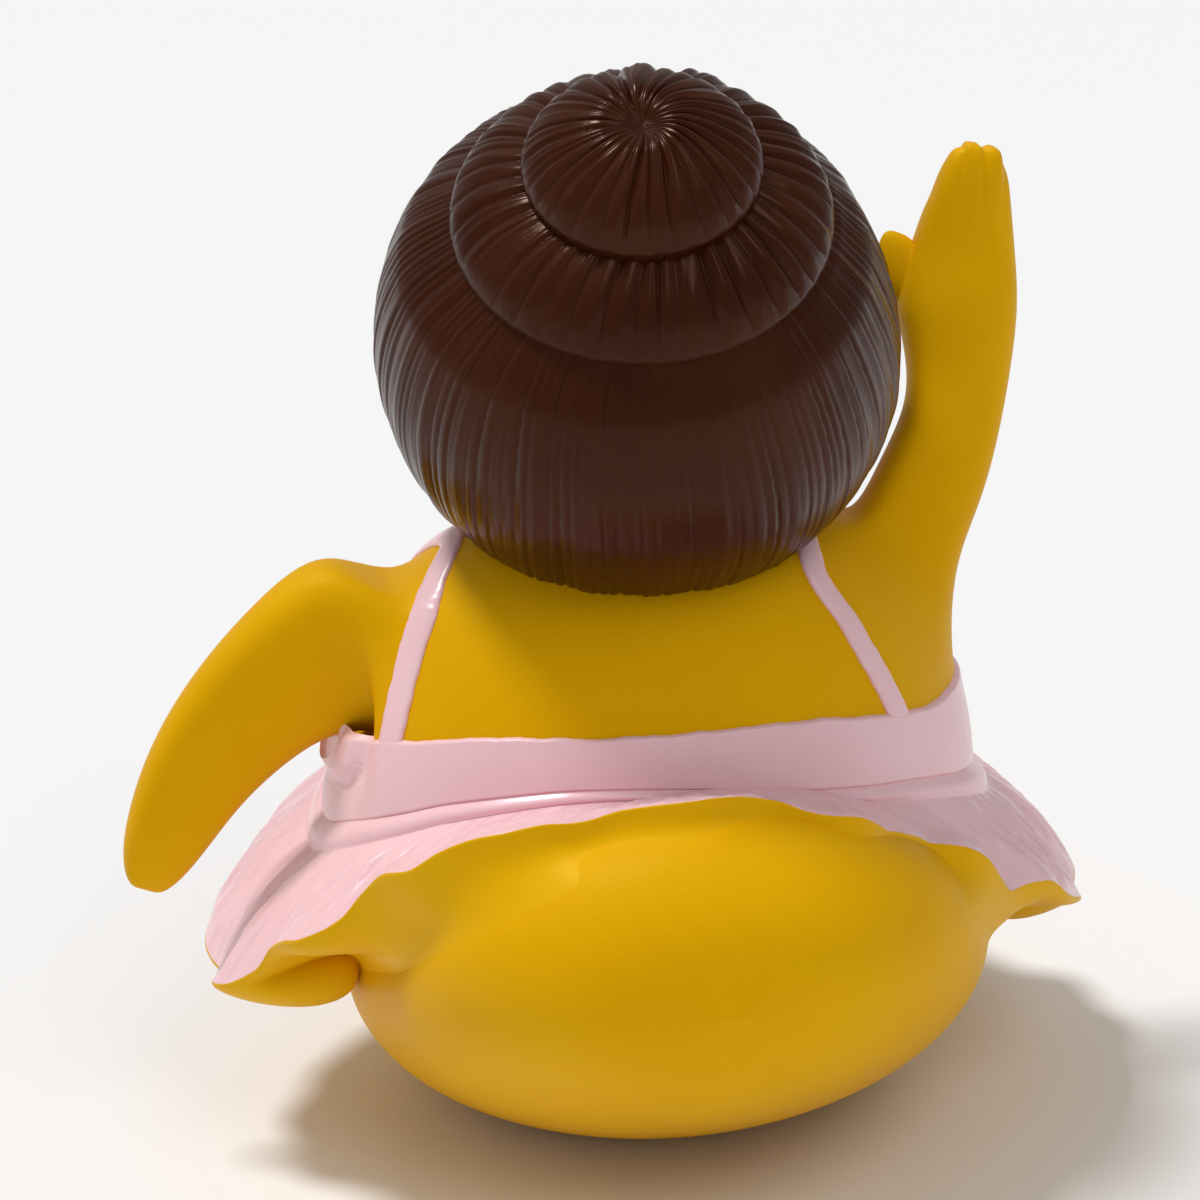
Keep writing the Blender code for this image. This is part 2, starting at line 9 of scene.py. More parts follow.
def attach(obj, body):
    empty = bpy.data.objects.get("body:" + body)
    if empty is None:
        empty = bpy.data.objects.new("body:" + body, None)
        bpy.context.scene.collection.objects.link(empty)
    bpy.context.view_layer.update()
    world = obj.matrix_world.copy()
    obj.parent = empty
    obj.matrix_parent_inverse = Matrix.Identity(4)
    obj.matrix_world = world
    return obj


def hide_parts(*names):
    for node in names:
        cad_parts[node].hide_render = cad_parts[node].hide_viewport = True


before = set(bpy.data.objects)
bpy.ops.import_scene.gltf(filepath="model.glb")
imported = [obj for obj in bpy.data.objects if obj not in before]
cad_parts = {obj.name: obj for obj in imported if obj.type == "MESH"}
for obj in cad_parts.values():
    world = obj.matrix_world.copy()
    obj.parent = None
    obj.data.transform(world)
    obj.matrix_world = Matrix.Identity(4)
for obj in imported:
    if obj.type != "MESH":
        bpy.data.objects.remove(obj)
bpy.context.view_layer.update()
MM = 0.001


# Hull
# Breast, belly and lifted rump of the duck: one closed float with a flat base, cast in soft
# yellow vinyl. A small vent in the base lets the air in and out when the duck is squeezed.


def mould_grain():
    """Node group: a cloudy tone and a fine height, both from the mould's surface."""
    group = bpy.data.node_groups.new("mould grain", "ShaderNodeTree")
    for name, value in (("Grain Size", 2400.0), ("Cloud Size", 45.0)):
        socket = group.interface.new_socket(name, in_out="INPUT", socket_type="NodeSocketFloat")
        socket.default_value = value
    group.interface.new_socket("Tone", in_out="OUTPUT", socket_type="NodeSocketFloat")
    group.interface.new_socket("Height", in_out="OUTPUT", socket_type="NodeSocketFloat")
    nodes, links = group.nodes, group.links
    entry = nodes.new("NodeGroupInput")
    leave = nodes.new("NodeGroupOutput")
    place = nodes.new("ShaderNodeTexCoord")
    for output, size, detail in (("Height", "Grain Size", 2.0), ("Tone", "Cloud Size", 4.0)):
        field = nodes.new("ShaderNodeTexNoise")
        field.inputs["Detail"].default_value = detail
        links.new(place.outputs["Object"], field.inputs["Vector"])
        links.new(entry.outputs[size], field.inputs["Scale"])
        links.new(field.outputs["Fac"], leave.inputs[output])
    return group


GRAIN = mould_grain()


def finish(name, low, high, roughness, relief, grain_size, cloud_size):
    """Painted or bare vinyl: colour and gloss drift from low to high with the mould's clouds."""
    material = bpy.data.materials.new(name)
    material.use_nodes = True
    nodes, links = material.node_tree.nodes, material.node_tree.links
    shader = nodes["Principled BSDF"]
    grain = nodes.new("ShaderNodeGroup")
    grain.node_tree = GRAIN
    grain.inputs["Grain Size"].default_value = grain_size
    grain.inputs["Cloud Size"].default_value = cloud_size
    tones = nodes.new("ShaderNodeValToRGB")
    for stop, position, colour in zip(tones.color_ramp.elements, (0.3, 0.7), (low, high)):
        stop.position = position
        stop.color = (*colour, 1)
    sheen = nodes.new("ShaderNodeMapRange")
    sheen.inputs["To Min"].default_value = roughness[0]
    sheen.inputs["To Max"].default_value = roughness[1]
    bump = nodes.new("ShaderNodeBump")
    bump.inputs["Strength"].default_value = relief
    bump.inputs["Distance"].default_value = 0.1 * MM
    links.new(grain.outputs["Tone"], tones.inputs["Fac"])
    links.new(grain.outputs["Tone"], sheen.inputs["Value"])
    links.new(grain.outputs["Height"], bump.inputs["Height"])
    links.new(tones.outputs["Color"], shader.inputs["Base Color"])
    links.new(sheen.outputs["Result"], shader.inputs["Roughness"])
    links.new(bump.outputs["Normal"], shader.inputs["Normal"])
    return material


YELLOW_LOW = (0.74, 0.375, 0.0010)
YELLOW_HIGH = (0.80, 0.425, 0.0014)
yellow_vinyl = finish("yellow vinyl", YELLOW_LOW, YELLOW_HIGH, (0.44, 0.54), 0.35, 2400.0, 45.0)
YELLOW_GLOSS = (1.0, 0.72, 0.06, 1)
yellow_shader = yellow_vinyl.node_tree.nodes["Principled BSDF"]
yellow_shader.inputs["Specular Tint"].default_value = YELLOW_GLOSS
yellow_shader.inputs["Specular IOR Level"].default_value = 0.2


def add_piece(name, bm, material):
    """Turns a bmesh into a piece of the duck, riding on its one body."""
    bmesh.ops.recalc_face_normals(bm, faces=bm.faces)
    for face in bm.faces:
        face.smooth = True
    mesh = bpy.data.meshes.new(name)
    bm.to_mesh(mesh)
    bm.free()
    mesh.materials.append(material)
    piece = bpy.data.objects.new(name, mesh)
    bpy.context.collection.objects.link(piece)
    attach(piece, "root")
    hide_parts("duck")
    return piece


def wrap(bm, columns, rows, place):
    """Bends a grid by place(u, v), u round the piece and v along it, and closes its seams.

    The attribute "lay" keeps where each point lies: on a unit circle round the piece, and v.
    """
    lay = bm.verts.layers.float_vector.new("lay")
    bmesh.ops.create_grid(bm, x_segments=columns, y_segments=rows, size=0.5)
    for vert in bm.verts:
        u, v = (min(1.0, max(0.0, part + 0.5)) for part in vert.co.xy)
        vert[lay] = (math.cos(math.tau * u), math.sin(math.tau * u), v)
        vert.co = place(u, v)
    bmesh.ops.remove_doubles(bm, verts=bm.verts, dist=1e-7)


def along(stations, share):
    """A smooth value at a share of the way through stations (Catmull-Rom)."""
    run = share * (len(stations) - 1)
    index = min(int(run), len(stations) - 2)
    t = run - index
    start, stop = stations[index], stations[index + 1]
    before = stations[index - 1] if index else start * 2 - stop
    after = stations[index + 2] if index + 2 < len(stations) else stop * 2 - start
    return (
        start * 2
        + (stop - before) * t
        + (before * 2 - start * 5 + stop * 4 - after) * t**2
        + (start * 3 - before - stop * 3 + after) * t**3
    ) * 0.5


def baked(piece):
    """A bmesh of the piece as its modifiers leave it; the modifiers are taken off."""
    shaped = bpy.data.meshes.new_from_object(
        piece.evaluated_get(bpy.context.evaluated_depsgraph_get())
    )
    piece.modifiers.clear()
    bm = bmesh.new()
    bm.from_mesh(shaped)
    bpy.data.meshes.remove(shaped)
    return bm


def skin_of(piece):
    return BVHTree.FromObject(piece, bpy.context.evaluated_depsgraph_get())


HULL_SHIFT = 0.4 * MM
# Sections from the breast to the tail: place along Y, half width, foot and top in millimetres
HULL_STATIONS = [
    Vector(row) * MM
    for row in (
        (-33.0, 0.0, 12.0, 12.0),
        (-31.4, 7.0, 8.5, 15.5),
        (-27.5, 16.0, 3.5, 18.8),
        (-20.0, 24.0, -1.5, 24.0),
        (-10.0, 28.5, -3.5, 29.5),
        (0.0, 30.5, -3.0, 34.0),
        (9.0, 30.1, -1.0, 36.6),
        (17.0, 28.2, 2.4, 38.3),
        (24.0, 26.2, 6.2, 39.5),
        (30.0, 22.6, 10.0, 39.7),
        (35.0, 17.4, 14.0, 37.4),
        (38.6, 10.5, 18.6, 33.0),
        (40.6, 0.0, 25.6, 25.6),
    )
]
VENT_RADIUS = 2.5 * MM
VENT_BACK = 8.0 * MM
WALL = 2.4 * MM


def hull_place(u, v):
    y, half_width, foot, top = along(HULL_STATIONS, v)
    turn = math.tau * u
    z = (foot + top) / 2 + (top - foot) / 2 * math.cos(turn)
    return Vector((HULL_SHIFT + max(0.0, half_width) * math.sin(turn), y, max(0.0, z)))


hull_mesh = bmesh.new()
wrap(hull_mesh, 200, 180, hull_place)
hull = add_piece("hull", hull_mesh, yellow_vinyl)
drill_mesh = bmesh.new()
bmesh.ops.create_cone(
    drill_mesh,
    cap_ends=True,
    segments=64,
    radius1=VENT_RADIUS,
    radius2=VENT_RADIUS,
    depth=WALL * 2,
    matrix=Matrix.Translation((0, VENT_BACK, 0)),
)
drill_data = bpy.data.meshes.new("drill")
drill_mesh.to_mesh(drill_data)
drill_mesh.free()
drill = bpy.data.objects.new("drill", drill_data)
bpy.context.collection.objects.link(drill)
vent = hull.modifiers.new("vent", "BOOLEAN")
vent.operation = "DIFFERENCE"
vent.solver = "EXACT"
vent.object = drill
drilled = baked(hull)
for face in drilled.faces:
    middle = face.calc_center_median()
    bored = math.hypot(middle.x, middle.y - VENT_BACK) < VENT_RADIUS * 1.02
    face.smooth = not bored and max(v.co.z for v in face.verts) > 0.01 * MM
drilled.to_mesh(hull.data)
drilled.free()
bpy.data.objects.remove(drill)
HULL_SKIN = skin_of(hull)


# Torso and wings
# The upright torso grows both wings in one skin of yellow vinyl: one hangs down and out, the
# other is raised beside the head. Each is a mitten, and the raised tip has faint feathers.

TORSO_SHIFT = 1.0 * MM
TORSO_HALF_WIDTH = 31.0 * MM
TORSO_HALF_DEPTH = 23.0 * MM
TORSO_Z = 31.0 * MM
TORSO_RISE = 32.0 * MM
TORSO_DROP = 22.0 * MM
TORSO_ROWS = [9.0, 14.0, 22.0, 29.5, 36.5, 42.0, 47.5, 52.5, 57.0, 61.0, 63.0]
TORSO_COLUMNS = 24
SKIN_SWELL = 0.3 * MM
SECTION_SWELL = 1.05
ROOT_SPAN = math.radians(22.5)

# A root's lowest and highest row on the torso, then a wing's stations: middle and half height
LEFT_ROOT = (36.5, 52.5)
LEFT_WING_DEPTH = 0.68
LEFT_WING = [
    (27.0, 0.0, 48.9, 9.7),
    (33.2, 0.6, 47.1, 7.2),
    (38.8, 1.0, 42.8, 6.1),
    (43.4, 1.5, 37.8, 5.1),
    (46.3, 2.0, 33.0, 4.2),
    (48.2, 2.0, 29.2, 3.2),
    (49.2, 2.0, 26.8, 1.8),
]
RIGHT_ROOT = (42.0, 57.0)
RIGHT_WING_DEPTH = 0.85
RIGHT_WING = [
    (-24.6, -2.0, 52.4, 5.2),
    (-27.7, -3.0, 57.8, 5.2),
    (-30.4, -4.5, 63.4, 4.5),
    (-31.4, -6.0, 68.6, 4.9),
    (-31.4, -7.0, 73.6, 5.8),
    (-32.4, -8.0, 78.6, 4.9),
    (-33.1, -8.0, 83.3, 3.9),
    (-33.9, -8.0, 87.0, 2.9),
    (-34.3, -8.0, 88.6, 1.9),
]
THUMB_ROOT = (-28.0, -8.0, 75.6)
THUMB = [(-27.0, -8.2, 77.0, 3.5), (-25.2, -8.4, 78.6, 2.9), (-24.4, -8.6, 79.7, 1.6)]


def on_torso(angle, z, out=0.0):
    """The torso's skin at an angle from the back towards +X, and a height."""
    share = (z - TORSO_Z) / (TORSO_RISE if z > TORSO_Z else TORSO_DROP)
    girth = math.sqrt(max(0.0, 1 - share**2))
    return Vector(
        (
            TORSO_SHIFT + (TORSO_HALF_WIDTH * girth + out) * math.sin(angle),
            (TORSO_HALF_DEPTH * girth + out) * math.cos(angle),
            z,
        )
    )


def torso_place(u, v):
    row = round(v * (len(TORSO_ROWS) - 1))
    out = SKIN_SWELL if 0 < row < len(TORSO_ROWS) - 1 else 0.0
    return on_torso(math.tau * (u + 0.5 / TORSO_COLUMNS), TORSO_ROWS[row] * MM, out)


def draw_out(bm, side, rows, stations, depth, layers):
    """Extrudes a square patch of the torso along a wing's stations, as rounded sections."""
    across, upward = layers
    low, high = (row * MM for row in rows)
    for vert in bm.verts:
        bearing = math.atan2(side * (vert.co.x - TORSO_SHIFT), vert.co.y)
        vert[across] = (bearing - math.pi / 2) / ROOT_SPAN
        vert[upward] = (vert.co.z * 2 - low - high) / (high - low)
    root = [
        face
        for face in bm.faces
        if all(max(abs(v[across]), abs(v[upward])) < 1.01 for v in face.verts)
    ]
    places = [Vector(station[:3]) * MM for station in stations]
    for index, (place, station) in enumerate(zip(places, stations)):
        ahead = places[min(index + 1, len(places) - 1)]
        behind = places[max(index - 1, 0)]
        heading = (ahead - behind).normalized()
        lift = Vector((-side * heading.z, 0, side * heading.x)).normalized()
        deep = heading.cross(lift) * side
        made = bmesh.ops.extrude_face_region(bm, geom=root)["geom"]
        bmesh.ops.delete(bm, geom=root, context="FACES")
        root = [item for item in made if isinstance(item, bmesh.types.BMFace)]
        for vert in {v for face in root for v in face.verts}:
            spot = Vector((vert[across], vert[upward]))
            reach = max(abs(spot.x), abs(spot.y)) * station[3] * MM * SECTION_SWELL
            spot = spot.normalized() * reach
            vert.co = place + deep * spot.x * depth + lift * spot.y


def draw_thumb(bm):
    """Extrudes one face of the raised wing into a thumb."""
    start = Vector(THUMB_ROOT) * MM
    root = min(bm.faces, key=lambda face: (face.calc_center_median() - start).length)
    for x, y, z, size in THUMB:
        made = bmesh.ops.extrude_face_region(bm, geom=[root])["geom"]
        bmesh.ops.delete(bm, geom=[root], context="FACES")
        root = next(item for item in made if isinstance(item, bmesh.types.BMFace))
        middle = root.calc_center_median()
        for vert in root.verts:
            vert.co = Vector((x, y, z)) * MM + (vert.co - middle).normalized() * size * MM


def feather(bm, tip, heading, sideways, reach, spacing, depth):
    """Presses shallow grooves into a wing's tip, fading back along the wing."""
    for vert in bm.verts:
        away = vert.co - tip
        back = -away.dot(heading) / reach
        if back < 1 and away.length < reach * 1.5:
            groove = 0.5 + 0.5 * math.cos(away.dot(sideways) / spacing * math.tau)
            fade = (1 - max(0.0, back)) ** 1.5
            vert.co -= vert.normal * depth * groove**3 * fade


body_mesh = bmesh.new()
wing_layers = (
    body_mesh.verts.layers.float.new("across"),
    body_mesh.verts.layers.float.new("upward"),
)
wrap(body_mesh, TORSO_COLUMNS, len(TORSO_ROWS) - 1, torso_place)
bmesh.ops.recalc_face_normals(body_mesh, faces=body_mesh.faces)
draw_out(body_mesh, 1, LEFT_ROOT, LEFT_WING, LEFT_WING_DEPTH, wing_layers)
draw_out(body_mesh, -1, RIGHT_ROOT, RIGHT_WING, RIGHT_WING_DEPTH, wing_layers)
draw_thumb(body_mesh)
body = add_piece("body", body_mesh, yellow_vinyl)
soften = body.modifiers.new("soften", "SUBSURF")
soften.levels = soften.render_levels = 3
softened = baked(body)
softened.normal_update()
feather(
    softened,
    tip=Vector((-34.6, -8.0, 88.8)) * MM,
    heading=Vector((-0.15, 0, 1)).normalized(),
    sideways=Vector((1, 0, 0.15)).normalized(),
    reach=10.0 * MM,
    spacing=2.2 * MM,
    depth=0.35 * MM,
)
softened.to_mesh(body.data)
softened.free()
BODY_SKIN = skin_of(body)


# Bodice
# The fitted top of the dress is a shallow step in the casting under semi-gloss pink paint. It
# ends in a rounded lip at the neckline and in a groove at the waist seam.

PINK_LOOK = ((0.91, 0.58, 0.62), (0.95, 0.63, 0.67), (0.22, 0.32), 0.12, 900.0, 80.0)
pink_paint = finish("pink paint", *PINK_LOOK)
DRESS_RELIEF = 0.5 * MM
# Heights in millimetres by degrees round the duck, from the middle of its back towards +X
WAIST = [
    (-180, 35.5), (-150, 34.8), (-120, 32.4), (-100, 31.0), (-84, 31.2), (-64, 33.3),
    (-48, 35.3), (-37, 36.3), (-24, 37.5), (-6, 39.2), (11, 40.0), (24, 39.8), (42, 38.2),
    (52, 36.6), (70, 33.6), (85, 31.6), (97, 31.6), (110, 33.0), (130, 34.6), (155, 35.4),
    (180, 35.5),
]
NECKLINE = [
    (-180, 43.0), (-140, 42.0), (-105, 41.2), (-75, 41.3), (-62, 41.1), (-47, 42.0),
    (-27, 43.8), (-15, 44.3), (0, 44.5), (14, 44.6), (33, 44.5), (56, 43.0), (68, 42.0),
    (79, 41.6), (92, 41.4), (110, 41.4), (140, 42.0), (180, 43.0),
]


def height_at(table, angle):
    """Reads a closed table of heights smoothly at an angle."""
    bearing = (math.degrees(angle) + 180) % 360 - 180
    before = (table[-2][0] - 360, table[-2][1])
    after = (table[1][0] + 360, table[1][1])
    ring = [before, *table, after]
    for (d0, z0), (d1, z1), (d2, z2), (d3, z3) in zip(ring, ring[1:], ring[2:], ring[3:]):
        if bearing <= d2:
            break
    t = (bearing - d1) / (d2 - d1)
    rise_in = (z2 - z0) / (d2 - d0) * (d2 - d1)
    rise_out = (z3 - z1) / (d3 - d1) * (d2 - d1)
    return MM * (
        z1 * (1 + 2 * t) * (1 - t) ** 2
        + rise_in * t * (1 - t) ** 2
        + z2 * t**2 * (3 - 2 * t)
        - rise_out * t**2 * (1 - t)
    )


def ring_noise(angle, size, level):
    """Noise that closes on itself round the duck."""
    return noise.noise(Vector((math.cos(angle) * size, math.sin(angle) * size, level)))


def eased(value):
    """Runs from 0 to 1 with a soft start and end, and stays there outside."""
    value = min(1.0, max(0.0, value))
    return value**2 * (3 - 2 * value)


def bodice_place(u, v):
    angle = math.tau * u
    edge = ring_noise(angle, 9.0, 0.3) * 0.2 * MM + ring_noise(angle, 40.0, 1.3) * 0.08 * MM
    low, high = height_at(WAIST, angle), height_at(NECKLINE, angle) + edge
    # The first and last steps turn the edges in, less at the waist, which the skirt covers
    lip = min(v / 0.05, (1 - v) / 0.07, 1.0)
    dip = 0.1 if v < 0.5 else 0.4
    out = DRESS_RELIEF * (math.sin(lip * math.pi / 2) * (1 + dip) - dip)
    z = low + (high - low) * v
    spot = on_torso(angle, z)
    place, normal = BODY_SKIN.find_nearest(spot)[:2]
    # Where the nearest skin is a wing's root, the dress keeps to the torso and runs in under it
    share = eased(2 - (place - spot).length / MM)
    place = spot.lerp(place, share)
    normal = Vector((math.sin(angle), math.cos(angle), 0)).lerp(normal, share).normalized()
    return Vector((place.x, place.y, z)) + normal * out


bodice_mesh = bmesh.new()
wrap(bodice_mesh, 480, 80, bodice_place)
add_piece("bodice", bodice_mesh, pink_paint)


# Shoulder straps
# Two thin ribbons run over the shoulders from the back of the bodice to its front. Each is a
# low rounded rib in the casting, painted with the dress.

# Degrees round the duck and heights in millimetres along each ribbon
LEFT_STRAP = [
    (60, 40), (60.5, 45), (63, 50), (69, 54), (88, 57.5), (110, 56), (124, 50), (128, 40),
]
RIGHT_STRAP = [
    (-47.5, 40), (-45.5, 46), (-44.8, 50), (-47.5, 55.5), (-76, 59), (-115, 56.5), (-125, 50),
    (-129, 40),
]


def lay_strap(name, line, width):
    """Lays a ribbon of an even width along a line on the body's skin."""
    run = [Vector((math.radians(a), z * MM)) for a, z in line]

    def laid(share):
        angle, z = along(run, share)
        return BODY_SKIN.find_nearest(on_torso(angle, z))[:2]

    def strap_place(u, v):
        place, out = laid(v)
        heading = laid(min(1.0, v + 0.02))[0] - laid(max(0.0, v - 0.02))[0]
        sideways = heading.cross(out).normalized()
        wobble = 1 + 0.10 * noise.noise(Vector((v * 25, width * 1000, 0)))
        turn = math.tau * u
        height = math.copysign(abs(math.sin(turn)) ** 0.6, math.sin(turn)) * DRESS_RELIEF
        return place + sideways * width / 2 * wobble * math.cos(turn) + out * height

    mesh = bmesh.new()
    wrap(mesh, 32, 160, strap_place)
    add_piece(name, mesh, pink_paint)


lay_strap("left_strap", LEFT_STRAP, 2.8 * MM)
lay_strap("right_strap", RIGHT_STRAP, 2.4 * MM)


# Skirt
# The gathered skirt is part of the casting: a plain waistband, pleats that open into a wavy
# hem, and a bare yellow underside that runs back into the hull in a soft fillet.

HEM = [
    (-180, 23.0), (-166, 22.0), (-151, 22.8), (-138, 21.2), (-126, 21.8), (-115, 19.6),
    (-105, 19.8), (-96, 17.4), (-87, 16.4), (-79, 17.6), (-70, 19.4), (-63, 21.6),
    (-58, 24.0), (-53, 24.9), (-48, 25.3), (-45, 27.2), (-41.5, 30.2), (-38, 31.9),
    (-33, 33.0), (-29, 34.0), (-25.5, 35.9), (-21, 38.2), (-15, 39.3), (-11, 40.6),
    (-4, 41.9), (2, 42.0), (8, 41.4), (13, 40.5), (18, 40.5), (23, 39.7), (27, 39.1),
    (31, 37.8), (35, 35.9), (40, 34.7), (44, 32.2), (47.5, 29.5), (52, 27.7), (58, 26.2),
    (63, 24.4), (67, 21.5), (72, 19.6), (80, 18.4), (89, 17.6), (98, 18.8), (106, 20.6),
    (115, 20.0), (126, 22.2), (138, 21.6), (151, 23.0), (166, 22.2), (180, 23.0),
]
HEM_SHIFT = 1.8 * MM
HEM_HALF_WIDTH = 42.2 * MM
HEM_BACK = 30.2 * MM
HEM_FRONT = 34.0 * MM
HEM_THICKNESS = 2.5 * MM
HEM_TIP_THICKNESS = 1.0 * MM
WEB_REACH = 9.5 * MM
BAND_HEIGHT = 2.4 * MM
BAND_TAPER = 0.7
BAND_FLARE = 1.2 * MM
SKIRT_PUFF = 0.12
BAND_SHARE = 0.1
HEM_SHARE = 0.6
SKIRT_COLUMNS = 760
SKIRT_ROWS = 116
FOOT_INSET = 0.8
WEB_SLOPE = 0.13
FOOT_NEIGHBOURS = range(-34, 35)
HULL_CLEARANCE = 0.3 * MM
LONGEST_LIFT = 3 * MM
SEAM_GROOVE = 0.55 * MM
SEAM_OVERLAP = 0.3 * MM
BAND_SWELL = 0.3 * MM
PLEAT_DEPTH = 0.5 * MM
GATHER_DEPTH = 0.32 * MM
PLEAT_ROOM = 6 * MM
UP = Vector((0, 0, 1))


def hem_wave(angle):
    """How far the hem's folds swing out and in. The three beats make them uneven."""
    return MM * (
        0.55 * math.sin(15 * angle + 0.5)
        + 0.45 * math.sin(19 * angle + 2.1)
        + 0.3 * math.sin(8 * angle + 4)
    )


def hem_edge(angle):
    back = math.cos(angle)
    wave = hem_wave(angle)
    return Vector(
        (
            HEM_SHIFT + (HEM_HALF_WIDTH + wave) * math.sin(angle),
            ((HEM_BACK if back > 0 else HEM_FRONT) + wave) * back,
            height_at(HEM, angle),
        )
    )


def ridged(value):
    return 0.5 - abs(value) * 2


def hem_thickness(angle):
    """The hem is thin at the side tips and thicker towards the back."""
    rear = min(1.0, max(0.0, math.cos(angle) - 0.25) * 3)
    return HEM_TIP_THICKNESS + (HEM_THICKNESS - HEM_TIP_THICKNESS) * rear


def landing(angle):
    """Where the underside meets the hull, and the way out there. It ignores the hem's folds."""
    back = math.cos(angle)
    web = WEB_REACH * eased((back - 0.35) / 0.5)
    level = sum(height_at(HEM, angle + math.radians(turn)) for turn in (-12, -6, 0, 6, 12)) / 5
    drop = hem_thickness(angle) + HEM_THICKNESS * eased((back - 0.25) * 3) + web * WEB_SLOPE
    x = (HEM_SHIFT + HEM_HALF_WIDTH * math.sin(angle)) * FOOT_INSET
    y = (HEM_BACK if back > 0 else HEM_FRONT) * back * FOOT_INSET + web
    return HULL_SKIN.find_nearest(Vector((x, y, level - drop)))[:2]


LANDINGS = [landing(math.tau * step / SKIRT_COLUMNS) for step in range(SKIRT_COLUMNS)]


def foot_at(u):
    """The landing at u and the way out there, both averaged along the ring."""
    step = round(u * SKIRT_COLUMNS)
    near = [LANDINGS[(step + turn) % SKIRT_COLUMNS] for turn in FOOT_NEIGHBOURS]
    middle = sum((place for place, _ in near), Vector()) / len(near)
    out = sum((out for _, out in near), Vector()).normalized()
    return HULL_SKIN.find_nearest(middle)[0], out


FEET = [foot_at(step / SKIRT_COLUMNS) for step in range(SKIRT_COLUMNS)]


def clear_of_hull(point):
    """Lifts a point of the skirt that would lie just inside the hull off the hull's skin."""
    place, out = HULL_SKIN.find_nearest(point)[:2]
    short = HULL_CLEARANCE - (point - place).dot(out)
    return point + out * min(max(0.0, short), LONGEST_LIFT)


def skirt_place(u, v):
    angle = math.tau * u
    outward = Vector((math.sin(angle), math.cos(angle), 0))
    back = max(0.0, math.cos(angle))
    band = BAND_HEIGHT * (1 - BAND_TAPER * back**2)
    flare = BAND_FLARE * (1 - back)
    seam = height_at(WAIST, angle)
    edge = clear_of_hull(hem_edge(angle))
    if v < BAND_SHARE:
        t = v / BAND_SHARE
        tuck = (1 - min(1.0, t / 0.35)) ** 2
        z = seam - band * t + SEAM_OVERLAP * tuck
        out = DRESS_RELIEF + flare * t + math.sin(t * math.pi) * BAND_SWELL - SEAM_GROOVE * tuck
        return clear_of_hull(on_torso(angle, z, out))
    top = clear_of_hull(on_torso(angle, seam - band, DRESS_RELIEF + flare))
    if v < HEM_SHARE:
        t = (v - BAND_SHARE) / (HEM_SHARE - BAND_SHARE)
        puff = (edge - top).length * SKIRT_PUFF * (1 - back)
        knee = top.lerp(edge, 0.45) + (outward * 0.5 + UP) * puff
        point = top * (1 - t) ** 2 + knee * 2 * t * (1 - t) + edge * t**2
        opening = math.sin(min(1.0, t * 1.4) * math.pi / 2)
        pleat = ridged(ring_noise(angle, 13.0, t * 1.1)) * opening * PLEAT_DEPTH
        gather = ridged(ring_noise(angle, 27.0, 5 + t * 1.6)) * math.sin(t * math.pi) ** 0.6
        rise = (pleat + gather * GATHER_DEPTH) * (1 - max(0.0, t - 0.88) / 0.12)
        room = min(1.0, (edge - top).length / PLEAT_ROOM)
        return clear_of_hull(point + (outward * 0.6 + UP * 0.8) * rise * room)
    t = (v - HEM_SHARE) / (1 - HEM_SHARE)
    foot, out = FEET[round(u * SKIRT_COLUMNS) % SKIRT_COLUMNS]
    foot = foot - out * 0.03 * MM
    span = edge - foot
    slide = (span - out * span.dot(out)).normalized()
    turn_down = edge - UP * hem_thickness(angle) * 1.5 + outward * 0.15 * MM
    run_in = foot + slide * span.length * 0.5
    return (
        edge * (1 - t) ** 3
        + turn_down * 3 * t * (1 - t) ** 2
        + run_in * 3 * t**2 * (1 - t)
        + foot * t**3
    )


skirt_mesh = bmesh.new()
wrap(skirt_mesh, SKIRT_COLUMNS, SKIRT_ROWS, skirt_place)


def painted_skirt():
    """Pink paint over yellow vinyl: the paint stops roughly along the hem."""
    material = finish("skirt paint", *PINK_LOOK)
    nodes, links = material.node_tree.nodes, material.node_tree.links
    shader = nodes["Principled BSDF"]
    lay = nodes.new("ShaderNodeAttribute")
    lay.attribute_name = "lay"
    reach = nodes.new("ShaderNodeSeparateXYZ")
    links.new(lay.outputs["Vector"], reach.inputs["Vector"])
    place = nodes.new("ShaderNodeTexCoord")
    brush = nodes.new("ShaderNodeTexNoise")
    brush.inputs["Scale"].default_value = 420.0
    brush.inputs["Detail"].default_value = 1.0
    wobble = nodes.new("ShaderNodeMath")
    wobble.operation = "MULTIPLY_ADD"
    wobble.inputs[1].default_value = 0.012
    edge = nodes.new("ShaderNodeMapRange")
    edge.inputs["From Min"].default_value = HEM_SHARE + 0.004
    edge.inputs["From Max"].default_value = HEM_SHARE
    links.new(place.outputs["Object"], brush.inputs["Vector"])
    links.new(brush.outputs["Fac"], wobble.inputs[0])
    links.new(reach.outputs["Z"], wobble.inputs[2])
    links.new(wobble.outputs["Value"], edge.inputs["Value"])
    for socket, bare in (("Base Color", (*YELLOW_HIGH, 1)), ("Roughness", (0.5, 0.5, 0.5, 1))):
        mix = nodes.new("ShaderNodeMix")
        mix.data_type = "RGBA"
        mix.inputs["A"].default_value = bare
        links.new(edge.outputs["Result"], mix.inputs["Factor"])
        links.new(shader.inputs[socket].links[0].from_socket, mix.inputs["B"])
        links.new(mix.outputs["Result"], shader.inputs[socket])
    gloss = nodes.new("ShaderNodeMix")
    gloss.data_type = "RGBA"
    gloss.inputs["A"].default_value = YELLOW_GLOSS
    gloss.inputs["B"].default_value = (1, 1, 1, 1)
    links.new(edge.outputs["Result"], gloss.inputs["Factor"])
    links.new(gloss.outputs["Result"], shader.inputs["Specular Tint"])
    return material


add_piece("skirt", skirt_mesh, painted_skirt())


# Head
# The head is a ball of bare yellow vinyl, cast in one with the torso below it. Only the face
# shows in front, under the hair, and the neck is hidden behind it.

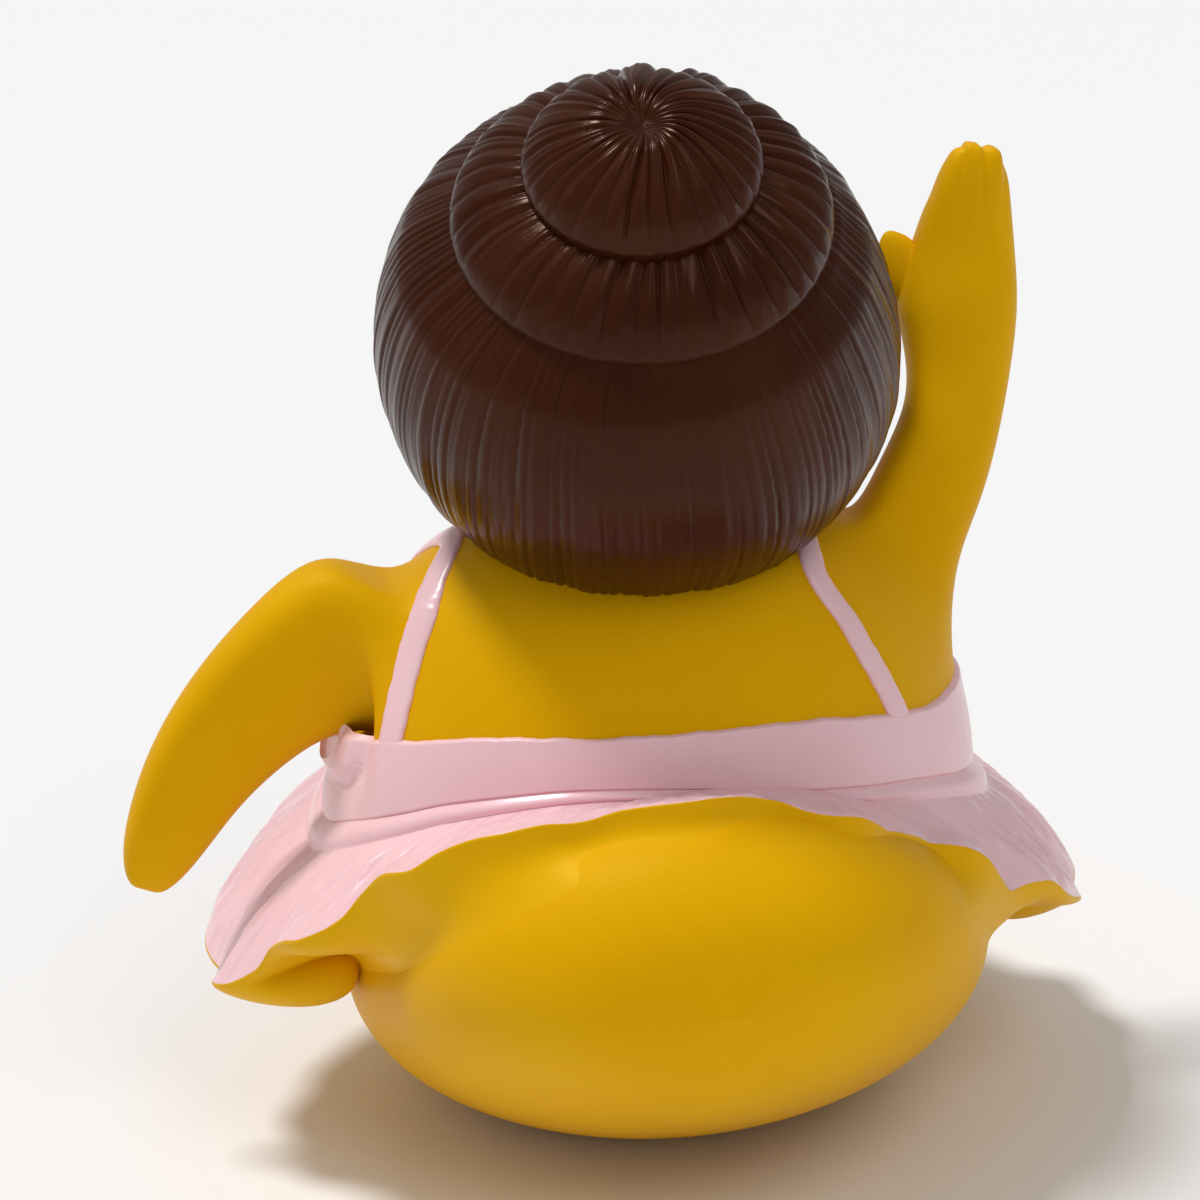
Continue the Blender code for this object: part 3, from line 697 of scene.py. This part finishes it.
SKULL_RADIUS = 22.3 * MM
HEAD_MIDDLE = Vector((0, 2.0, 76.0)) * MM


def skull_place(u, v):
    polar = math.pi * v
    turn = math.tau * u
    flat = math.sin(polar)
    out = Vector((flat * math.sin(turn), flat * math.cos(turn), math.cos(polar)))
    return HEAD_MIDDLE + out * SKULL_RADIUS


skull_mesh = bmesh.new()
wrap(skull_mesh, 160, 80, skull_place)
add_piece("head", skull_mesh, yellow_vinyl)


# Hair
# The hair is moulded as a ball of combed strands that all run out from under the bun, round a
# bare face. It is sprayed with semi-gloss brown paint.

BROWN_LOW = (0.034, 0.0066, 0.0018)
BROWN_HIGH = (0.050, 0.0115, 0.0034)
brown_paint = finish("brown paint", BROWN_LOW, BROWN_HIGH, (0.20, 0.30), 0.2, 1500.0, 90.0)
brown_shader = brown_paint.node_tree.nodes["Principled BSDF"]
brown_shader.inputs["Specular Tint"].default_value = (1.0, 0.62, 0.45, 1)
brown_shader.inputs["Specular IOR Level"].default_value = 0.22
HEAD_RADIUS = 24.2 * MM
CROWN_FLAT = 0.06
SIDE_FLAT = 0.05
BUN_TILT = math.radians(32.5)
BUN_LEAN = math.radians(2.8)
LEANING = Matrix.Rotation(BUN_LEAN, 3, "Y")
BUN_AXIS = LEANING @ Vector((0, math.sin(BUN_TILT), math.cos(BUN_TILT)))
SIDEWAYS = LEANING @ Vector((1, 0, 0))
NAPE_WARD = BUN_AXIS.cross(SIDEWAYS)
FACE_HALF_WIDTH = math.radians(50)
FACE_HALF_HEIGHT = math.radians(44)
HAIR_COLUMNS = 840
HAIR_ROWS = 116
HAIR_START = math.radians(36)
HAIR_EDGE = 0.97
CROWN_END = math.radians(64)
CROWN_SPAN = math.radians(18)
SIDE_START = math.radians(50)
SIDE_SPAN = math.radians(60)
STRANDS = 138
STRAND_DEPTH = 0.34 * MM
LOCK_DEPTH = 0.14 * MM
WAVE_DEPTH = 0.16 * MM


def from_bun(spread, polar, radius):
    """A point of the head by its angle round the bun's axis and its angle down from it."""
    flat = NAPE_WARD * math.cos(spread) + SIDEWAYS * math.sin(spread)
    return HEAD_MIDDLE + (BUN_AXIS * math.cos(polar) + flat * math.sin(polar)) * radius


def bare(direction):
    """True where the head has no hair: on the face and round the neck."""
    if direction.z < -0.86:
        return True
    side = direction.x / math.sin(FACE_HALF_WIDTH)
    up = (direction.z + 0.12) / math.sin(FACE_HALF_HEIGHT)
    return direction.y < 0 and (side**2 + up**2 < 1 or (up < 0 and abs(side) < 1))


def hairline(spread):
    """How far down from the bun's axis the hair reaches."""
    polar = SIDE_START
    while not bare((from_bun(spread, polar, 1) - HEAD_MIDDLE).normalized()):
        polar += math.radians(0.5)
    return polar


HAIRLINE = [hairline(math.tau * step / HAIR_COLUMNS) for step in range(HAIR_COLUMNS)]


def hair_place(u, v):
    spread = math.tau * u
    reach = HAIRLINE[round(u * HAIR_COLUMNS) % HAIR_COLUMNS]
    edge = max(0.0, (v - HAIR_EDGE) / (1 - HAIR_EDGE))
    polar = HAIR_START + (reach - HAIR_START) * min(1.0, v / HAIR_EDGE)
    radius = HEAD_RADIUS * (1 - CROWN_FLAT * eased((CROWN_END - polar) / CROWN_SPAN))
    share = min(1.0, max(0.0, (polar - SIDE_START) / SIDE_SPAN))
    dent = 6.75 * share * (1 - share) ** 2 * max(0.0, -math.sin(spread))
    radius *= 1 - SIDE_FLAT * dent
    comb = spread + 0.05 * ring_noise(spread, 3.0, polar * 0.7) + 0.010 * math.sin(polar * 5)
    lock = ridged(ring_noise(comb, 8.0, polar * 0.3))
    strand = -((1 - abs(math.sin(comb * STRANDS / 2))) ** 2)
    strand *= max(0.0, 0.5 + 1.3 * ring_noise(comb, 24.0, 4 + polar * 1.1))
    wide = ring_noise(comb, 30.0, 9 + polar * 0.6)
    side = 0.55 + 0.45 * abs(math.sin(spread))
    relief = (strand * STRAND_DEPTH + wide * WAVE_DEPTH) * side + lock * LOCK_DEPTH
    radius += relief * (1 - edge)
    sunk = radius * (1 - edge) + SKULL_RADIUS * 0.97 * edge
    return from_bun(spread, polar + edge * 0.03, sunk)


hair_mesh = bmesh.new()
wrap(hair_mesh, HAIR_COLUMNS, HAIR_ROWS, hair_place)
add_piece("hair", hair_mesh, brown_paint)


# Bun
# The bun is a coil in two rounds, the smaller on the larger, each gathered over a soft rolled
# rim. It is cast with the hair under the same brown paint, and its folds close in a crease.


FOLD_DEPTH = 0.42 * MM
BEAD_HEIGHT = 0.12 * MM
CREASE_DEPTH = 0.6 * MM
FLAP_HEIGHT = 0.3 * MM
BUN_TWIST = 0.35
LOWER_OUTLINE = [
    (14.8, 13.6), (16.0, 14.3), (16.8, 15.2), (16.8, 16.4), (15.9, 18.0), (14.3, 19.6),
    (12.2, 20.8), (9.8, 21.6), (7.5, 21.4),
]
UPPER_OUTLINE = [
    (8.6, 20.6), (10.0, 21.0), (10.5, 21.9), (10.45, 22.9), (9.8, 24.2), (8.3, 25.8),
    (6.2, 27.1), (4.3, 27.9), (3.0, 28.1), (1.8, 27.9), (0.8, 27.4), (0.0, 27.2),
]


def hump(distance, width):
    return math.exp(-((distance / width) ** 2))


def bun_round(name, outline, folds, seed, plain, strong, tuck):
    """One round of the coil, turned from an outline of radius and height in millimetres.

    plain is the share of its side without folds, strong the bearing in degrees where the folds
    are deepest, and tuck the bearing where the coil's end is pushed under.
    """
    profile = [Vector(point) * MM for point in outline]
    widest = max(point.x for point in profile)

    def bun_place(u, v):
        radius, height = along(profile, v)
        spread = math.tau * u
        comb = spread + 0.09 * ring_noise(spread, 2.5, seed) + 0.02 * ring_noise(spread, 9, seed)
        comb += BUN_TWIST * max(0.0, 1 - radius / widest) ** 2
        fold = abs(math.cos(comb * folds / 2)) ** 0.75 - 0.62
        fold *= 0.75 + 0.25 * math.cos(spread - math.radians(strong)) + 0.7 * ring_noise(
            comb, 5.0, seed + 3
        )
        fold += 0.18 * ridged(ring_noise(comb, folds * 0.5, v * 1.5 + seed))
        swell = FOLD_DEPTH * fold * min(1.0, radius / (3.5 * MM)) * eased((v - plain) / 0.2)
        swell += BEAD_HEIGHT * (hump(v - 0.09, 0.03) - hump(v - 0.17, 0.03))
        # The coil's end leaves one deep crease here, with a raised fold beside it
        past = (comb - math.radians(tuck) + math.pi) % math.tau - math.pi
        crease = FLAP_HEIGHT * hump(past - 0.22, 0.13) - CREASE_DEPTH * hump(past, 0.06)
        swell += crease * eased(radius / (4.0 * MM)) * eased(v / 0.3)
        flat = NAPE_WARD * math.cos(spread) + SIDEWAYS * math.sin(spread)
        rise = swell * min(1.0, v / 0.6)
        return HEAD_MIDDLE + BUN_AXIS * (height + rise) + flat * max(0.0, radius + swell)

    mesh = bmesh.new()
    wrap(mesh, folds * 20, 90, bun_place)
    add_piece(name, mesh, brown_paint)


bun_round("lower_tier", LOWER_OUTLINE, folds=38, seed=2.0, plain=0.3, strong=-90, tuck=-160)
bun_round("upper_tier", UPPER_OUTLINE, folds=28, seed=5.0, plain=0.2, strong=-60, tuck=178)


# Beak
# The bill is two flat lips of vinyl, the upper over the lower. They are moulded with the face
# and painted orange.

orange_paint = finish(
    "orange paint", (0.72, 0.15, 0.010), (0.78, 0.19, 0.014), (0.28, 0.36), 0.12, 900.0, 80.0
)


def egg(name, middle, half, turn, material):
    """A turned ball, with its half sizes in millimetres."""
    mesh = bmesh.new()
    ball = bmesh.ops.create_uvsphere(mesh, u_segments=64, v_segments=32, radius=1)["verts"]
    bmesh.ops.scale(mesh, verts=ball, vec=Vector(half) * MM)
    bmesh.ops.rotate(mesh, verts=ball, matrix=turn)
    bmesh.ops.translate(mesh, verts=ball, vec=middle)
    add_piece(name, mesh, material)


BEAK_FRONT = HEAD_MIDDLE.y - SKULL_RADIUS
for name, half, z, tilt in (
    ("beak_top", (8.2, 8.0, 2.7), 70.6, 6),
    ("beak_bottom", (6.6, 6.2, 2.1), 67.6, -8),
):
    lip = Matrix.Rotation(math.radians(tilt), 3, "X")
    egg(name, Vector((0, BEAK_FRONT, z * MM)), half, lip, orange_paint)


# Eyes
# Each eye is a raised white oval with a black pupil on it, moulded with the face. Both are
# painted in gloss.

white_paint = finish(
    "white paint", (0.78, 0.78, 0.76), (0.84, 0.84, 0.82), (0.22, 0.3), 0.1, 900.0, 80.0
)
black_paint = finish(
    "black paint", (0.008, 0.008, 0.008), (0.014, 0.013, 0.013), (0.14, 0.22), 0.1, 900.0, 80.0
)
for side, label in ((-1, "right"), (1, "left")):
    yaw = math.radians(24) * side
    gaze = Vector((math.sin(yaw), -math.cos(yaw), 0.14)).normalized()
    for name, half, reach, material in (
        ("eye", (3.9, 1.6, 5.2), 0.2, white_paint),
        ("pupil", (2.3, 1.5, 3.4), 0.9, black_paint),
    ):
        middle = HEAD_MIDDLE + gaze * (SKULL_RADIUS - 0.6 * MM + reach * MM)
        egg(f"{label}_{name}", middle, half, Matrix.Rotation(yaw, 3, "Z"), material)


# Studio
# A pale floor and a white surround light the duck softly from all sides. Two broad lamps add
# daylight from the upper left and from behind the camera, which has the photograph's angle.

floor_mesh = bmesh.new()
bmesh.ops.create_grid(floor_mesh, x_segments=1, y_segments=1, size=3)
floor_material = bpy.data.materials.new("pale floor")
floor_material.use_nodes = True
floor_shader = floor_material.node_tree.nodes["Principled BSDF"]
floor_shader.inputs["Base Color"].default_value = (0.88, 0.88, 0.88, 1)
floor_shader.inputs["Roughness"].default_value = 0.8
floor_data = bpy.data.meshes.new("floor")
floor_mesh.to_mesh(floor_data)
floor_mesh.free()
floor_data.materials.append(floor_material)
floor = bpy.data.objects.new("floor", floor_data)
bpy.context.collection.objects.link(floor)

world = bpy.data.worlds.new("surround")
bpy.context.scene.world = world
world.use_nodes = True
world.node_tree.nodes["Background"].inputs["Color"].default_value = (1, 1, 1, 1)
world.node_tree.nodes["Background"].inputs["Strength"].default_value = 0.35
for name, towards, angle, strength in (
    ("daylight", (0.30, -0.15, 0.94), 12, 2.0),
    ("window", (-0.25, 0.55, 0.80), 30, 0.45),
):
    lamp = bpy.data.lights.new(name, "SUN")
    lamp.energy = strength
    lamp.angle = math.radians(angle)
    lamp_object = bpy.data.objects.new(name, lamp)
    lamp_object.rotation_euler = Vector(towards).to_track_quat("Z", "Y").to_euler()
    bpy.context.collection.objects.link(lamp_object)

ELEVATION = math.radians(20)
SWING = math.radians(7.5)
ROLL = math.radians(3)
DISTANCE = 0.38
PIXELS_PER_METRE = 10700
FRAME_PIXELS = 1200
SENSOR_WIDTH = 36
camera_data = bpy.data.cameras.new("camera")
camera_data.sensor_width = SENSOR_WIDTH
camera_data.lens = PIXELS_PER_METRE * DISTANCE / FRAME_PIXELS * SENSOR_WIDTH
camera = bpy.data.objects.new("camera", camera_data)
bpy.context.collection.objects.link(camera)
outward = Vector(
    (
        math.sin(SWING) * math.cos(ELEVATION),
        math.cos(SWING) * math.cos(ELEVATION),
        math.sin(ELEVATION),
    )
)
rightward = Vector((-math.cos(SWING), math.sin(SWING), 0))
aim = Vector((0, 0, 50 * MM)) - rightward * 50 / PIXELS_PER_METRE
facing = (-outward).to_track_quat("-Z", "Y").to_matrix().to_4x4()
camera.matrix_world = (
    Matrix.Translation(aim + outward * DISTANCE) @ facing @ Matrix.Rotation(-ROLL, 4, "Z")
)
bpy.context.scene.camera = camera
bpy.context.scene.view_settings.view_transform = "Standard"
